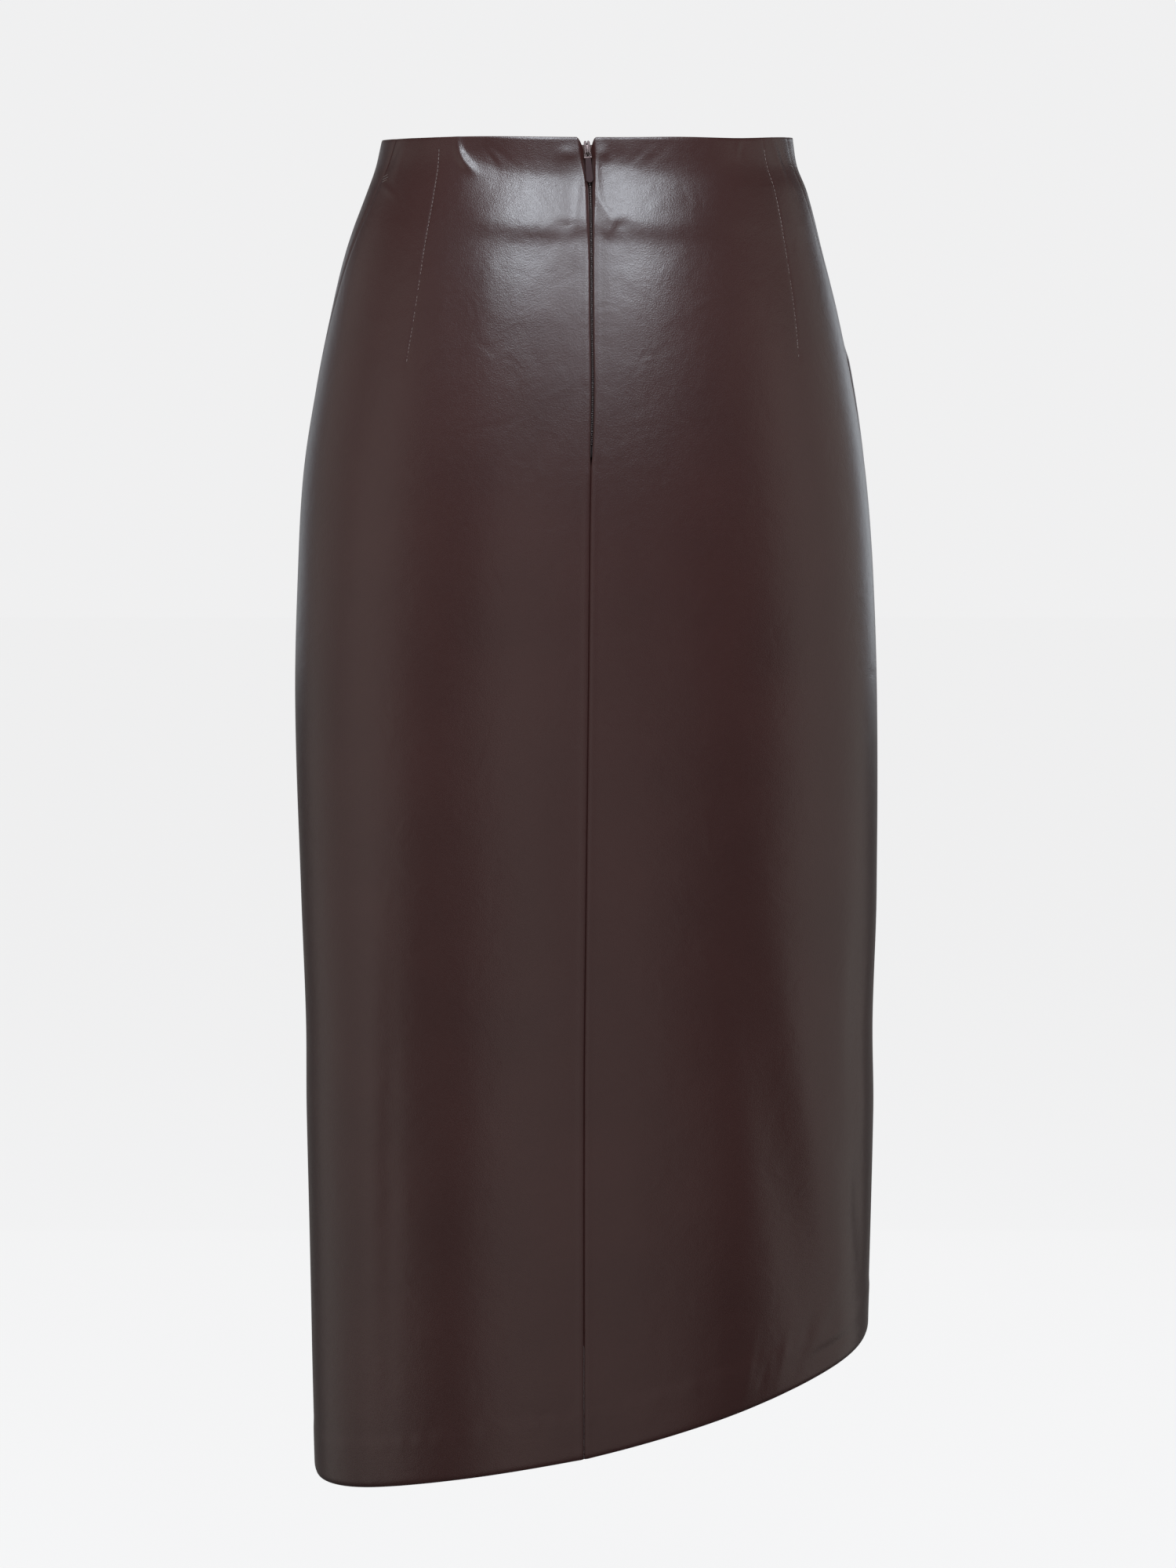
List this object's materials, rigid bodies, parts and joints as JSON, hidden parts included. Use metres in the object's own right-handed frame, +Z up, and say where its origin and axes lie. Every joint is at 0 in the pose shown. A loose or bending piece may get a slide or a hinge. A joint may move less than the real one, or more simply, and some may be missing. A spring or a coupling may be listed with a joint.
{
  "type": "pencil skirt",
  "caption": "Midi pencil skirt in glossy brown leather-look cloth, hollow as when worn, with darts, a concealed centre-back zip and a slanted hem.",
  "frame": {"origin": "middle of the waist opening, level with the top edge", "axes": "+Z up, +X the wearer's right, +Y the wearer's front, -Y the back with the zip"},
  "size_m": [0.3609, 0.2346, 0.8344],
  "materials": {
    "leather": "glossy dark-brown leather-look cloth with a fine pebble grain",
    "tape": "dark-brown woven zip tape",
    "coil": "dark-brown nylon coil",
    "metal": "dark-brown lacquered metal, worn bright on the loop"
  },
  "bodies": {
    "skirt": {"back_left": "leather", "back_right": "leather", "front": "leather", "zip_tape_left": "tape", "zip_tape_right": "tape", "zip_coil": "coil", "zip_slider": "metal"},
    "pull": {"zip_pull": "metal"}
  },
  "joints": [
    {"name": "zip_pull_swing", "type": "hinge", "parent": "skirt", "child": "pull", "pos_m": [-0.00027, -0.08844, -0.00806], "axis": [-0.9968, -0.0133, -0.0791], "range_deg": [0, 125]}
  ]
}
